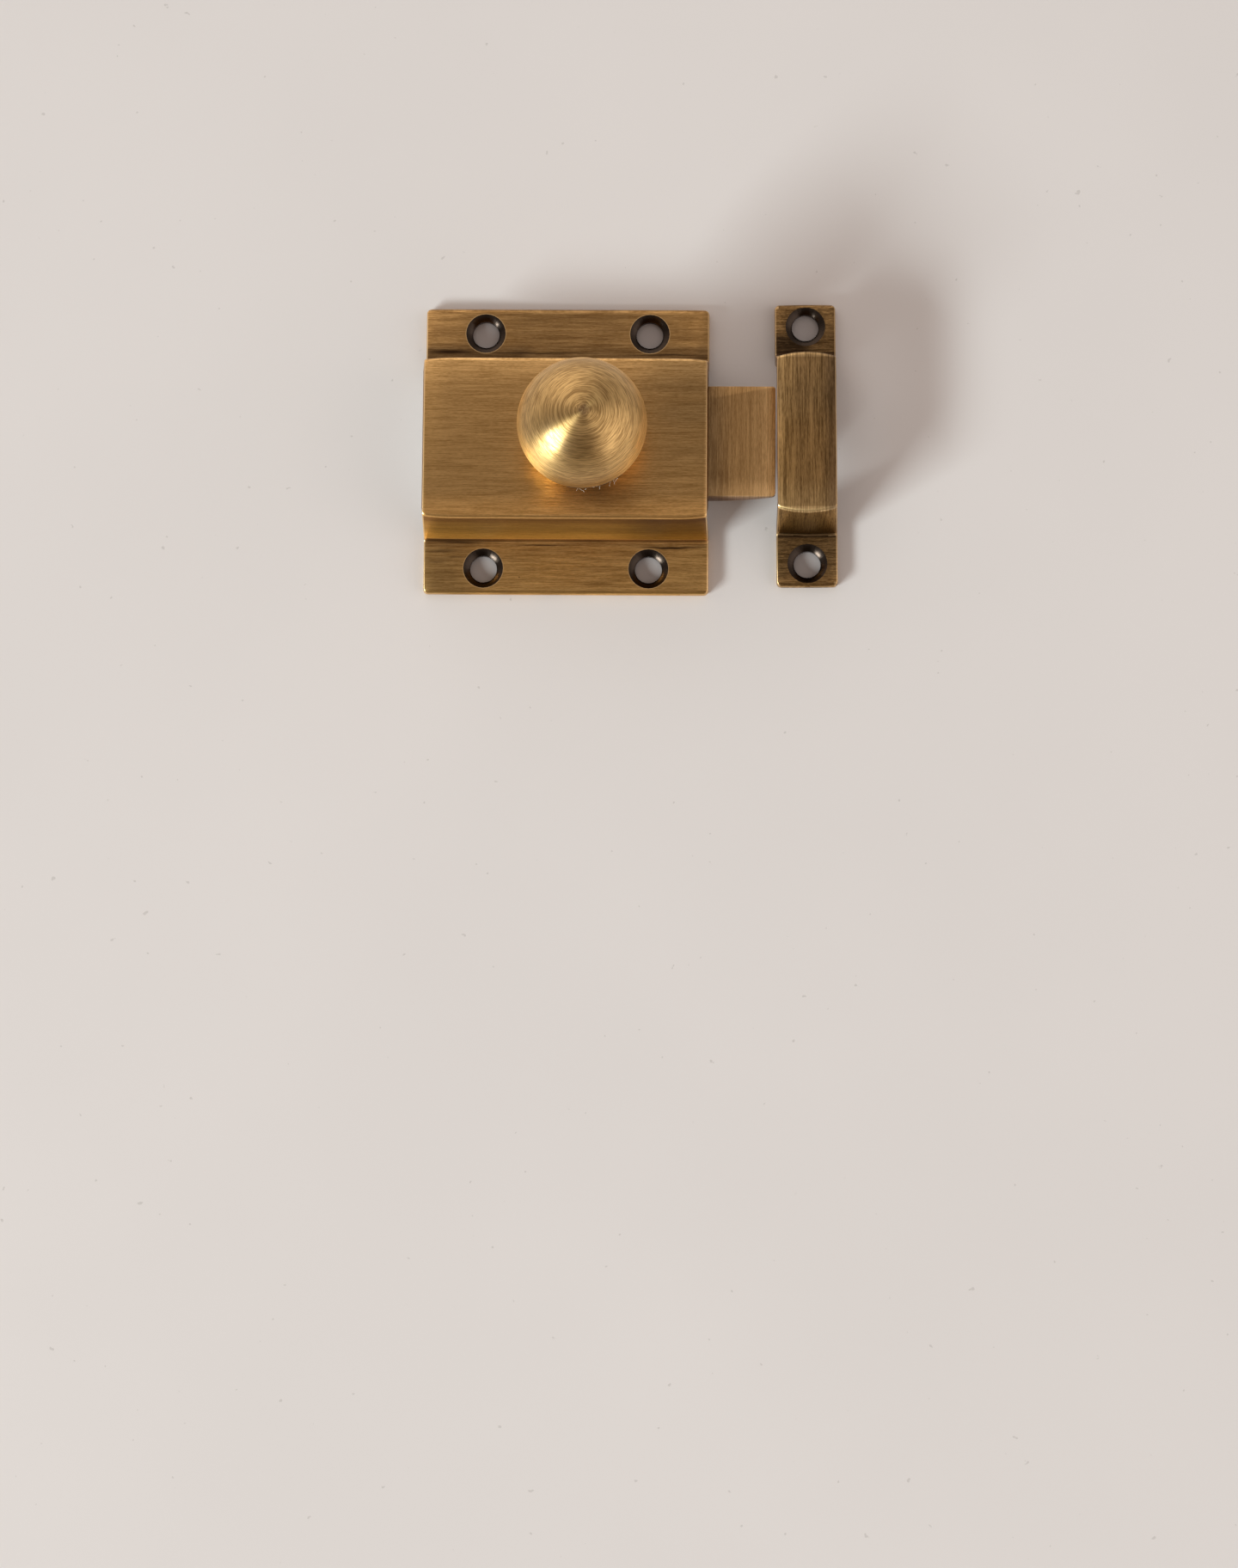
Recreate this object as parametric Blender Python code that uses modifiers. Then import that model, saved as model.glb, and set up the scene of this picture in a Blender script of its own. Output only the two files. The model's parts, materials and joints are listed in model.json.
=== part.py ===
"""Cabinet door latch: a pressed square case with a ball knob and a sprung bolt, and its loose keeper.

The back of the case lies in the plane z = 0 with its centre at the origin, +Z points out of the door
through the knob, and the bolt slides along X with its tip towards +X.
"""

import math

import bmesh
import bpy
from mathutils import Matrix, Vector

MM = 0.001

# Clearances
SEAT_GAP = 0.2 * MM  # between flat faces that seat on each other
SLIDE_GAP = 0.3 * MM  # above, below and beside the sliding bolt
FIT_GAP = 0.1 * MM  # radial, between a round piece and its hole
PIN_PLAY = 0.4 * MM  # crank pin in its slot, taken up as the crank swings
KEEPER_GAP = 0.3 * MM  # between the bolt's tip and the keeper beside it
ACCESS_GAP = 0.3 * MM  # radial, round a screw head that a hole gives a driver access to
COIL_GAP = 0.06 * MM  # between the closed coils at the ends of the spring

# Pressed sheet: the case and the keeper share one hat-shaped section
SHEET = 2.0 * MM
FACE_HEIGHT = 13.0 * MM  # raised face above the back
FACE_WIDTH = 28.6 * MM  # raised face between its two bends
WALL_LEAN = 2.1 * MM  # how far each side wall spreads from bend to foot
TOP_RADIUS = 0.7 * MM  # outside of the bend at the raised face
INNER_RADIUS = 0.3 * MM  # inside of the same bend
FOOT_RADIUS = 0.5 * MM  # outside of the bend at the flange
CASE_LENGTH = 50.8 * MM
CASE_WIDTH = 51.9 * MM
KEEPER_LENGTH = 10.9 * MM
KEEPER_WIDTH = 51.4 * MM
CORNER_RADIUS = 0.75 * MM  # flange corners, seen from the front
EDGE_EASE = 0.22 * MM  # rounding of the sheet's rubbed edges

# Bending draws the ends of the walls and of the raised face in, and bows the bend lines at the ends
CASE_BOW = 0.4 * MM
KEEPER_BOW = 0.85 * MM
BOW_REACH = 5.0 * MM
WALL_DRAW = 0.45 * MM
FACE_DRAW = 0.3 * MM
KEEPER_DRAW = 0.25 * MM
KEEPER_LEAN = 0.27 * MM  # the keeper's raised face stands this far out of line, towards the bolt

# Countersunk screw holes in the flanges
HOLE_RADIUS = 2.4 * MM
SINK_RADIUS = 3.55 * MM
HOLE_END = 10.7 * MM  # from the ends of the case to its holes
HOLE_EDGE = 4.6 * MM  # from the edge of the case's flange to its holes
KEEPER_HOLE_EDGE = 4.15 * MM

# Keeper as it lies beside the case
KEEPER_SHIFT = 1.3 * MM  # off the bolt's centre line
KEEPER_TURN = math.radians(0.55)

# Bolt
BOLT_WIDTH = 19.6 * MM
BOLT_THICKNESS = 4.8 * MM
BOLT_REACH = 11.6 * MM  # how far its tip stands out of the case
BOLT_TRAVEL = 8.5 * MM
BOLT_TAIL = 5.2 * MM  # bar left behind the slot, which the spring pushes
NOSE_LENGTH = 11.4 * MM
TIP_THICKNESS = 1.1 * MM
TIP_RADIUS = 0.5 * MM  # corners of the tip, seen from the front
BOLT_EASE = 0.35 * MM

# Knob and what turns with it
KNOB_X = 3.25 * MM  # from the middle of the case
KNOB_RADIUS = 11.25 * MM
KNOB_SEAT_RADIUS = 3.8 * MM  # flat under the ball
KNOB_BORE_DEPTH = 9.0 * MM
WASHER_RADIUS = 4.1 * MM
WASHER_THICKNESS = 0.8 * MM
SPINDLE_RADIUS = 2.2 * MM
SQUARE_SIDE = 3.0 * MM  # squared end of the spindle in the follower
SQUARE_GAP = 0.1 * MM
BUSH_RADIUS = 3.2 * MM
BUSH_SPIGOT_RADIUS = 2.75 * MM  # part of the bush that stands in the case
BUSH_SINK = 0.1 * MM  # its end lies this far below the raised face
FOLLOWER_THICKNESS = 1.6 * MM
FOLLOWER_HUB_RADIUS = 4.2 * MM
FOLLOWER_EYE_RADIUS = 2.4 * MM
CRANK_RADIUS = 6.2 * MM
CRANK_PIN_RADIUS = 1.3 * MM
FOLLOWER_WASHER_RADIUS = 3.2 * MM
FOLLOWER_WASHER_THICKNESS = 0.3 * MM
FOLLOWER_SCREW_HEAD_RADIUS = 2.1 * MM
FOLLOWER_SCREW_HEAD = 0.9 * MM
FOLLOWER_SCREW_RADIUS = 0.9 * MM
FOLLOWER_SCREW_LENGTH = 5.5 * MM

# Back plate, its posts and screws
BACK_SHEET = 1.2 * MM
BACK_INSET = 1.2 * MM  # lugs stand this far inside the ends of the case
BACK_BEND_RADIUS = 0.5 * MM
POST_RADIUS = 2.2 * MM
FRONT_POST_REACH = 9.45 * MM  # from the knob's axis
REAR_POST_INSET = 4.0 * MM  # from the lug that backs the spring
REAR_POST_SPACING = 16.0 * MM
PLATE_SCREW_RADIUS = 1.1 * MM
PLATE_SCREW_HEAD_RADIUS = 2.0 * MM
PLATE_SCREW_LENGTH = 6.5 * MM  # from the back of the latch to the screw's end
PLATE_SCREW_SINK = 0.05 * MM  # its head lies this far below the back
SLOT_WIDTH = 0.6 * MM  # driver slots
SLOT_DEPTH = 0.45 * MM

# Bolt spring and the pin that guides it
SPRING_RADIUS = 2.25 * MM  # outside
SPRING_WIRE_RADIUS = 0.3 * MM
SPRING_TURNS = 9
SPRING_CLOSED_TURNS = 1  # at each end
SPRING_PIN_RADIUS = 1.15 * MM
SPRING_PIN_LENGTH = 14.0 * MM

# Facets
ROUND_STEPS = 28
BALL_STEPS = 56
BALL_RINGS = 22
CORNER_STEPS = 3
FOOT_STEPS = 5
NOSE_STEPS = 10
SPRING_STEPS = 12
EASE_SEGMENTS = 2
END_STATIONS = (0.14, 0.32, 0.6, 0.999)  # shares of the bow's reach where the sheet is divided
SMOOTH_ANGLE = math.radians(35)
EASE_ANGLE = math.radians(40)  # only sharper edges are eased
FLAT_ANGLE = math.radians(0.1)
WELD = 0.001 * MM
THROUGH = 1.0 * MM  # how far a cutter runs past the face that it opens

# Levels and places that follow from the sizes above
CEILING = FACE_HEIGHT - SHEET
BOLT_TOP = CEILING - SLIDE_GAP
BOLT_BOTTOM = BOLT_TOP - BOLT_THICKNESS
BOLT_MIDDLE = (BOLT_TOP + BOLT_BOTTOM) / 2
BOLT_TIP = CASE_LENGTH / 2 + BOLT_REACH
FOLLOWER_TOP = BOLT_BOTTOM - SLIDE_GAP
FOLLOWER_BOTTOM = FOLLOWER_TOP - FOLLOWER_THICKNESS
WASHER_BOTTOM = FACE_HEIGHT + SEAT_GAP
KNOB_SEAT = WASHER_BOTTOM + WASHER_THICKNESS + SEAT_GAP
KNOB_CENTRE = KNOB_SEAT + math.sqrt(KNOB_RADIUS**2 - KNOB_SEAT_RADIUS**2)
FRONT_POST_X = KNOB_X + FRONT_POST_REACH
SLOT_START = KNOB_X - BUSH_RADIUS - SEAT_GAP
SLOT_END = FRONT_POST_X + POST_RADIUS + SEAT_GAP + BOLT_TRAVEL
SLOT_HALF_WIDTH = max(BUSH_RADIUS, POST_RADIUS) + FIT_GAP
BOLT_START = SLOT_START - BOLT_TAIL
CRANK_SWING = math.asin(BOLT_TRAVEL / 2 / CRANK_RADIUS)  # to each side of straight across
ARM_TURN = CRANK_SWING - math.pi / 2  # of the crank's arm from +X, at rest
LUG_OUTSIDE = CASE_LENGTH / 2 - BACK_INSET
LUG_INSIDE = LUG_OUTSIDE - BACK_SHEET
REAR_POST_X = REAR_POST_INSET - LUG_INSIDE
KEEPER_X = BOLT_TIP + KEEPER_GAP + KEEPER_LENGTH / 2

ACROSS_X = Matrix(((0, 0, 1, 0), (1, 0, 0, 0), (0, 1, 0, 0), (0, 0, 0, 1)))  # outline in YZ, swept along X
ACROSS_Y = Matrix.Rotation(math.pi / 2, 4, "X")  # outline in XZ, swept along Y
ALONG_X = Matrix.Rotation(math.pi / 2, 4, "Y")


def clear_scene():
    for item in list(bpy.data.objects):
        bpy.data.objects.remove(item, do_unlink=True)


def new_collection(name):
    made = bpy.data.collections.new(name)
    bpy.context.scene.collection.children.link(made)
    return made


def new_material(name, colour, roughness, metallic=1.0):
    made = bpy.data.materials.new(name)
    made.use_nodes = True
    shader = made.node_tree.nodes["Principled BSDF"]
    shader.inputs["Base Color"].default_value = (*colour, 1.0)
    shader.inputs["Roughness"].default_value = roughness
    shader.inputs["Metallic"].default_value = metallic
    return made


def new_object(name, mesh, location=(0, 0, 0)):
    made = bpy.data.objects.new(name, mesh)
    made.location = location
    latch.objects.link(made)
    return made


def as_cutter(cutter):
    """Turns an object into a wire guide that only cuts."""
    latch.objects.unlink(cutter)
    cutters.objects.link(cutter)
    cutter.hide_render = True
    cutter.display_type = "WIRE"
    return cutter


def evaluated_mesh(item):
    """The mesh of an object with its modifiers, or of a curve with its thickness."""
    graph = bpy.context.evaluated_depsgraph_get()
    return bpy.data.meshes.new_from_object(item.evaluated_get(graph))


def arc(centre, radius, start, end, steps):
    """Points on a circle from one angle to another, in degrees."""
    turns = [math.radians(start + (end - start) * step / steps) for step in range(steps + 1)]
    return [(centre[0] + radius * math.cos(t), centre[1] + radius * math.sin(t)) for t in turns]


def rounded(corners):
    """A closed outline from (x, y, radius, steps) corners, each rounded with an arc of its radius."""
    outline = []
    for index, (x, y, radius, steps) in enumerate(corners):
        here = Vector((x, y))
        if not radius:
            outline.append(here)
            continue
        before = (Vector(corners[index - 1][:2]) - here).normalized()
        after = (Vector(corners[(index + 1) % len(corners)][:2]) - here).normalized()
        half = before.angle(after) / 2
        centre = here + (before + after).normalized() * radius / math.sin(half)
        spoke = here + before * radius / math.tan(half) - centre
        sweep = spoke.angle_signed(here + after * radius / math.tan(half) - centre)
        for step in range(steps + 1):
            outline.append(centre + Matrix.Rotation(-sweep * step / steps, 2) @ spoke)
    return outline


def stadium(start, end, radius):
    """A slot's outline along X, its ends half round."""
    near = arc((start + radius, 0), radius, 90, 270, ROUND_STEPS // 2)
    return near + arc((end - radius, 0), radius, -90, 90, ROUND_STEPS // 2)


def link_outline(hub_radius, eye_radius, distance):
    """Two circles a distance apart along X, joined by their common tangents."""
    lean = math.degrees(math.acos((hub_radius - eye_radius) / distance))
    hub = arc((0, 0), hub_radius, lean, 360 - lean, ROUND_STEPS // 2)
    return hub + arc((distance, 0), eye_radius, -lean, lean, ROUND_STEPS // 4)


def prism(name, outline, depth, turn=Matrix(), location=(0, 0, 0)):
    """An object made of a flat outline with an even thickness, centred on the outline's plane."""
    curve = bpy.data.curves.new(name, "CURVE")
    curve.dimensions = "2D"
    curve.fill_mode = "BOTH"
    curve.extrude = depth / 2
    spline = curve.splines.new("POLY")
    spline.points.add(len(outline) - 1)
    spline.use_cyclic_u = True
    for point, (x, y) in zip(spline.points, outline):
        point.co = (x, y, 0, 1)
    drawn = new_object(name + "_outline", curve)
    shape = bmesh.new()
    shape.from_mesh(evaluated_mesh(drawn))
    bpy.data.objects.remove(drawn)
    bmesh.ops.remove_doubles(shape, verts=shape.verts, dist=WELD)
    bmesh.ops.dissolve_limit(shape, angle_limit=FLAT_ANGLE, verts=shape.verts, edges=shape.edges)
    bmesh.ops.transform(shape, matrix=turn, verts=shape.verts)
    bmesh.ops.recalc_face_normals(shape, faces=shape.faces)
    mesh = bpy.data.meshes.new(name)
    shape.to_mesh(mesh)
    shape.free()
    return new_object(name, mesh, location)


def turned(name, profile, location=(0, 0, 0), steps=ROUND_STEPS, ring=False):
    """A profile of (radius, height) points spun round Z. It runs down the outside, and a ring's is closed."""
    mesh = bpy.data.meshes.new(name)
    edges = [(index, index + 1) for index in range(len(profile) - 1)]
    if ring:
        edges.append((len(profile) - 1, 0))
    mesh.from_pydata([(radius, 0, height) for radius, height in profile], edges, [])
    made = new_object(name, mesh, location)
    spin = made.modifiers.new("Turn", "SCREW")
    spin.axis = "Z"
    spin.steps = steps
    spin.render_steps = steps
    spin.use_merge_vertices = True
    spin.merge_threshold = WELD
    return made


def turned_rod(name, radius, low, high, location=(0, 0, 0)):
    return turned(name, [(0, high), (radius, high), (radius, low), (0, low)], location)


def turned_ring(name, radius, bore, low, high, location=(0, 0, 0)):
    section = [(bore, high), (radius, high), (radius, low), (bore, low)]
    return turned(name, section, location, ring=True)


def box(name, low, high, location=(0, 0, 0)):
    shape = bmesh.new()
    bmesh.ops.create_cube(shape, size=1)
    size = Vector(high) - Vector(low)
    middle = (Vector(high) + Vector(low)) / 2
    bmesh.ops.transform(shape, matrix=Matrix.LocRotScale(middle, None, size), verts=shape.verts)
    mesh = bpy.data.meshes.new(name)
    shape.to_mesh(mesh)
    shape.free()
    return new_object(name, mesh, location)


def combine(target, other, operation):
    """Adds a Boolean that cuts the target with, joins it to or limits it to another object."""
    change = target.modifiers.new(other.name, "BOOLEAN")
    change.operation = operation
    change.solver = "EXACT"
    change.object = as_cutter(other)


def ease_edges(target, width):
    ease = target.modifiers.new("Ease", "BEVEL")
    ease.width = width
    ease.segments = EASE_SEGMENTS
    ease.limit_method = "ANGLE"
    ease.angle_limit = EASE_ANGLE
    ease.use_clamp_overlap = True


def lay_along_bolt(piece):
    """Lays a piece that was turned round Z along the bolt's own centre line, its top towards +X."""
    piece.matrix_world = Matrix.Translation((0, 0, BOLT_MIDDLE)) @ ALONG_X
    return piece


def finish(piece, material, parent=None):
    """Settles the modifiers into the mesh, shades round faces smooth, and gives the piece its material."""
    mesh = evaluated_mesh(piece)
    mesh.name = piece.name
    piece.modifiers.clear()
    piece.data = mesh
    mesh.shade_smooth()
    mesh.set_sharp_from_angle(angle=SMOOTH_ANGLE)
    mesh.materials.clear()
    mesh.materials.append(material)
    if parent:
        piece.parent = parent
        piece.matrix_parent_inverse = parent.matrix_world.inverted()
    return piece


def axis_empty(name, location):
    """An empty on a joint's axis, which carries the pieces that move with it."""
    empty = bpy.data.objects.new(name, None)
    empty.location = location
    latch.objects.link(empty)
    bpy.context.view_layer.update()
    return empty


def wall_outside(height):
    """Half the distance between the outsides of the side walls, at a height above the back."""
    return FACE_WIDTH / 2 + WALL_LEAN * (FACE_HEIGHT - height) / (FACE_HEIGHT - SHEET)


def wall_inside(height):
    """The same for their insides, away from the bends."""
    lean = math.atan(WALL_LEAN / (FACE_HEIGHT - SHEET))
    return wall_outside(height) - SHEET / math.cos(lean)


def hat_outline(width):
    """The section of the pressed sheet: flange, foot bend, wall, top bend and raised face."""
    edge = width / 2
    foot_bend = FOOT_RADIUS + SHEET
    half = [
        (edge, 0, 0, 0),
        (edge, SHEET, 0, 0),
        (wall_outside(SHEET), SHEET, FOOT_RADIUS, FOOT_STEPS),
        (wall_outside(FACE_HEIGHT), FACE_HEIGHT, TOP_RADIUS, CORNER_STEPS),
    ]
    inner = [
        (wall_inside(CEILING), CEILING, INNER_RADIUS, 1),
        (wall_inside(0), 0, foot_bend, FOOT_STEPS),
    ]
    outside = half + [(-y, z, radius, steps) for y, z, radius, steps in reversed(half)]
    inside = [(-y, z, radius, steps) for y, z, radius, steps in reversed(inner)] + inner
    return rounded(outside + inside)


def press(shape, length, width, bow, wall_draw, face_draw, lean):
    """Moves the vertices of a straight hat section to where bending leaves them near its two ends."""
    for vert in shape.verts:
        x, y, z = vert.co
        lift = min(z / CEILING, 1.0)
        on_wall = abs(y) > wall_inside(CEILING)
        from_end = length / 2 - abs(x)
        nearness = max(0.0, 1 - from_end / min(BOW_REACH, length / 2))
        draw = (wall_draw if on_wall else face_draw) * lift
        vert.co.x = x * (1 - draw / (length / 2)) - lean * lift
        vert.co.y = y - math.copysign(bow * nearness**2 * lift, y)


def pressed_sheet(name, length, width, bow, wall_draw, face_draw, lean=0):
    """A length of hat section with rounded flange corners, drawn ends and eased edges."""
    made = prism(name, hat_outline(width), length, ACROSS_X)
    shape = bmesh.new()
    shape.from_mesh(made.data)
    corners = [
        edge
        for edge in shape.edges
        if all(length / 2 - abs(v.co.x) < WELD and width / 2 - abs(v.co.y) < WELD for v in edge.verts)
    ]
    bmesh.ops.bevel(
        shape, geom=corners, offset=CORNER_RADIUS, segments=CORNER_STEPS, affect="EDGES", profile=0.5
    )
    reach = min(BOW_REACH, length / 2)
    for share in END_STATIONS:
        for side in (-1, 1):
            bmesh.ops.bisect_plane(
                shape,
                geom=shape.verts[:] + shape.edges[:] + shape.faces[:],
                plane_co=(side * (length / 2 - share * reach), 0, 0),
                plane_no=(1, 0, 0),
                dist=WELD,
            )
    press(shape, length, width, bow, wall_draw, face_draw, lean)
    shape.to_mesh(made.data)
    shape.free()
    ease_edges(made, EDGE_EASE)
    return made


def sink_holes(sheet, places):
    """Cuts countersunk screw holes through the flanges at the given places."""
    above = SHEET + THROUGH
    shoulder = SHEET - (SINK_RADIUS - HOLE_RADIUS)
    profile = [
        (0, above),
        (SINK_RADIUS, above),
        (SINK_RADIUS, SHEET),
        (HOLE_RADIUS, shoulder),
        (HOLE_RADIUS, -THROUGH),
        (0, -THROUGH),
    ]
    for index, place in enumerate(places):
        combine(sheet, turned(f"{sheet.name}_hole_{index}", profile, place), "DIFFERENCE")


def make_case():
    case = pressed_sheet("case", CASE_LENGTH, CASE_WIDTH, CASE_BOW, WALL_DRAW, FACE_DRAW)
    along = CASE_LENGTH / 2 - HOLE_END
    across = CASE_WIDTH / 2 - HOLE_EDGE
    sink_holes(case, [(x * along, y * across, 0) for x in (-1, 1) for y in (-1, 1)])
    bush_hole = turned_rod(
        "bush_hole",
        BUSH_SPIGOT_RADIUS + FIT_GAP,
        CEILING - THROUGH,
        FACE_HEIGHT + THROUGH,
        (KNOB_X, 0, 0),
    )
    combine(case, bush_hole, "DIFFERENCE")
    return finish(case, antique_brass)


def make_keeper():
    """The keeper, the same section as the case, lying free in front of the bolt's tip."""
    keeper = pressed_sheet(
        "keeper", KEEPER_LENGTH, KEEPER_WIDTH, KEEPER_BOW, KEEPER_DRAW, KEEPER_DRAW, KEEPER_LEAN
    )
    turn = Matrix.Rotation(KEEPER_TURN, 4, "Z")
    middle = Vector((KEEPER_X, KEEPER_SHIFT, 0))
    keeper.location = middle
    keeper.rotation_euler.z = KEEPER_TURN
    across = KEEPER_WIDTH / 2 - KEEPER_HOLE_EDGE
    sink_holes(keeper, [turn @ Vector((0, side * across, 0)) + middle for side in (-1, 1)])
    return finish(keeper, aged_brass)


def bolt_side_outline():
    """The bolt from the side: flat on top, its underside curving up to a thin tip."""
    drop = BOLT_THICKNESS - TIP_THICKNESS
    radius = (NOSE_LENGTH**2 + drop**2) / (2 * drop)
    sweep = math.degrees(math.asin(NOSE_LENGTH / radius))
    nose = arc((BOLT_TIP - NOSE_LENGTH, BOLT_BOTTOM + radius), radius, -90, sweep - 90, NOSE_STEPS)
    return [(BOLT_START, BOLT_TOP), (BOLT_START, BOLT_BOTTOM)] + nose + [(BOLT_TIP, BOLT_TOP)]


def make_bolt(parent):
    """A flat bolt, slotted along its middle to run on the bush and the front post."""
    bolt = prism("bolt", bolt_side_outline(), BOLT_WIDTH, ACROSS_Y)
    edge = BOLT_WIDTH / 2
    plan = rounded(
        [
            (BOLT_START, -edge, 0, 0),
            (BOLT_TIP, -edge, TIP_RADIUS, CORNER_STEPS),
            (BOLT_TIP, edge, TIP_RADIUS, CORNER_STEPS),
            (BOLT_START, edge, 0, 0),
        ]
    )
    depth = BOLT_THICKNESS + 2 * THROUGH
    combine(bolt, prism("bolt_plan", plan, depth, location=(0, 0, BOLT_MIDDLE)), "INTERSECT")
    ease_edges(bolt, BOLT_EASE)
    slot = stadium(SLOT_START, SLOT_END, SLOT_HALF_WIDTH)
    combine(bolt, prism("bolt_slot", slot, depth, location=(0, 0, BOLT_MIDDLE)), "DIFFERENCE")
    pin_x = crank_pin_place(0)[0]
    cross_half = CRANK_PIN_RADIUS + PIN_PLAY
    cross_slot = box(
        "crank_slot",
        (pin_x - cross_half, -(CRANK_RADIUS + cross_half), BOLT_BOTTOM - THROUGH),
        (pin_x + cross_half, 0, BOLT_TOP + THROUGH),
    )
    combine(bolt, cross_slot, "DIFFERENCE")
    pin_hole = SPRING_PIN_RADIUS + SLIDE_GAP
    tail_hole = turned_rod("spring_pin_hole", pin_hole, BOLT_START - THROUGH, SLOT_START + THROUGH)
    combine(bolt, lay_along_bolt(tail_hole), "DIFFERENCE")
    return finish(bolt, bolt_brass, parent)


def make_knob(parent):
    """The ball, turned with a flat seat under it and bored for the spindle."""
    seat = -math.degrees(math.acos(KNOB_SEAT_RADIUS / KNOB_RADIUS))
    ball = arc((0, KNOB_CENTRE), KNOB_RADIUS, 90, seat, BALL_RINGS)
    bore = SPINDLE_RADIUS + FIT_GAP
    bore_top = KNOB_SEAT + KNOB_BORE_DEPTH
    profile = [(0, ball[0][1])] + ball[1:] + [(bore, KNOB_SEAT), (bore, bore_top), (0, bore_top)]
    return finish(turned("knob", profile, (KNOB_X, 0, 0), BALL_STEPS), knob_brass, parent)


def make_knob_washer(parent):
    washer = turned_ring(
        "knob_washer",
        WASHER_RADIUS,
        SPINDLE_RADIUS + FIT_GAP,
        WASHER_BOTTOM,
        WASHER_BOTTOM + WASHER_THICKNESS,
        (KNOB_X, 0, 0),
    )
    return finish(washer, antique_brass, parent)


def make_bush():
    """The bearing of the spindle. Its spigot stands in the case and its body guides the bolt's slot."""
    bore = SPINDLE_RADIUS + FIT_GAP
    shoulder = CEILING - SEAT_GAP
    top = FACE_HEIGHT - BUSH_SINK
    foot = FOLLOWER_TOP + SEAT_GAP
    section = [
        (bore, top),
        (BUSH_SPIGOT_RADIUS, top),
        (BUSH_SPIGOT_RADIUS, shoulder),
        (BUSH_RADIUS, shoulder),
        (BUSH_RADIUS, foot),
        (bore, foot),
    ]
    return finish(turned("bush", section, (KNOB_X, 0, 0), ring=True), plain_brass)


def make_spindle(parent):
    """The spindle, round in the ball and the bush, squared below for the follower, tapped from below."""
    place = (KNOB_X, 0, 0)
    top = KNOB_SEAT + KNOB_BORE_DEPTH - SEAT_GAP
    spindle = turned_rod("spindle", SPINDLE_RADIUS, FOLLOWER_BOTTOM, top, place)
    for quarter in range(4):
        flat = box(
            f"spindle_flat_{quarter}",
            (SQUARE_SIDE / 2, -SPINDLE_RADIUS - THROUGH, FOLLOWER_BOTTOM - THROUGH),
            (SPINDLE_RADIUS + THROUGH, SPINDLE_RADIUS + THROUGH, FOLLOWER_TOP + SEAT_GAP),
            place,
        )
        flat.rotation_euler.z = ARM_TURN + quarter * math.pi / 2
        combine(spindle, flat, "DIFFERENCE")
    tap = turned_rod(
        "spindle_tap",
        FOLLOWER_SCREW_RADIUS + FIT_GAP,
        FOLLOWER_BOTTOM - THROUGH,
        FOLLOWER_BOTTOM + FOLLOWER_SCREW_LENGTH + SEAT_GAP,
        place,
    )
    combine(spindle, tap, "DIFFERENCE")
    return finish(spindle, bright_steel, parent)


def make_follower(parent):
    """The crank on the spindle's squared end. At rest its arm points to the tip side of straight across."""
    outline = link_outline(FOLLOWER_HUB_RADIUS, FOLLOWER_EYE_RADIUS, CRANK_RADIUS)
    middle = (FOLLOWER_TOP + FOLLOWER_BOTTOM) / 2
    follower = prism("follower", outline, FOLLOWER_THICKNESS, location=(KNOB_X, 0, middle))
    follower.rotation_euler.z = ARM_TURN
    half = SQUARE_SIDE / 2 + SQUARE_GAP
    reach = FOLLOWER_THICKNESS / 2 + THROUGH
    square = box("follower_square", (-half, -half, -reach), (half, half, reach), (KNOB_X, 0, middle))
    square.rotation_euler.z = ARM_TURN
    combine(follower, square, "DIFFERENCE")
    eye = turned_rod("follower_eye", CRANK_PIN_RADIUS + FIT_GAP, -reach, reach, crank_pin_place(middle))
    combine(follower, eye, "DIFFERENCE")
    return finish(follower, bright_steel, parent)


def crank_pin_place(height):
    """The crank pin's axis at rest."""
    return (
        KNOB_X + CRANK_RADIUS * math.cos(ARM_TURN),
        CRANK_RADIUS * math.sin(ARM_TURN),
        height,
    )


def make_crank_pin(parent):
    low = FOLLOWER_BOTTOM + SEAT_GAP
    high = BOLT_TOP - SLIDE_GAP
    pin = turned_rod("crank_pin", CRANK_PIN_RADIUS, low, high, crank_pin_place(0))
    return finish(pin, bright_steel, parent)


def cut_driver_slot(screw, radius, low, location):
    """A straight slot across the underside of a screw's head."""
    slot = box(
        screw.name + "_slot",
        (-radius - THROUGH, -SLOT_WIDTH / 2, low - THROUGH),
        (radius + THROUGH, SLOT_WIDTH / 2, low + SLOT_DEPTH),
        location,
    )
    combine(screw, slot, "DIFFERENCE")


def make_follower_fastening(parent):
    """The washer and the cheese-head screw that hold the follower up on the spindle."""
    place = (KNOB_X, 0, 0)
    washer_top = FOLLOWER_BOTTOM - SEAT_GAP
    washer_low = washer_top - FOLLOWER_WASHER_THICKNESS
    washer = turned_ring(
        "follower_washer",
        FOLLOWER_WASHER_RADIUS,
        FOLLOWER_SCREW_RADIUS + FIT_GAP,
        washer_low,
        washer_top,
        place,
    )
    head_top = washer_low - SEAT_GAP
    head_low = head_top - FOLLOWER_SCREW_HEAD
    shank_top = FOLLOWER_BOTTOM + FOLLOWER_SCREW_LENGTH
    profile = [
        (0, shank_top),
        (FOLLOWER_SCREW_RADIUS, shank_top),
        (FOLLOWER_SCREW_RADIUS, head_top),
        (FOLLOWER_SCREW_HEAD_RADIUS, head_top),
        (FOLLOWER_SCREW_HEAD_RADIUS, head_low),
        (0, head_low),
    ]
    screw = turned("follower_screw", profile, place)
    cut_driver_slot(screw, FOLLOWER_SCREW_HEAD_RADIUS, head_low, place)
    return [finish(washer, bright_steel, parent), finish(screw, bright_steel, parent)]


def post_places():
    return {
        "front": (FRONT_POST_X, 0, 0),
        "north": (REAR_POST_X, REAR_POST_SPACING / 2, 0),
        "south": (REAR_POST_X, -REAR_POST_SPACING / 2, 0),
    }


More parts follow.
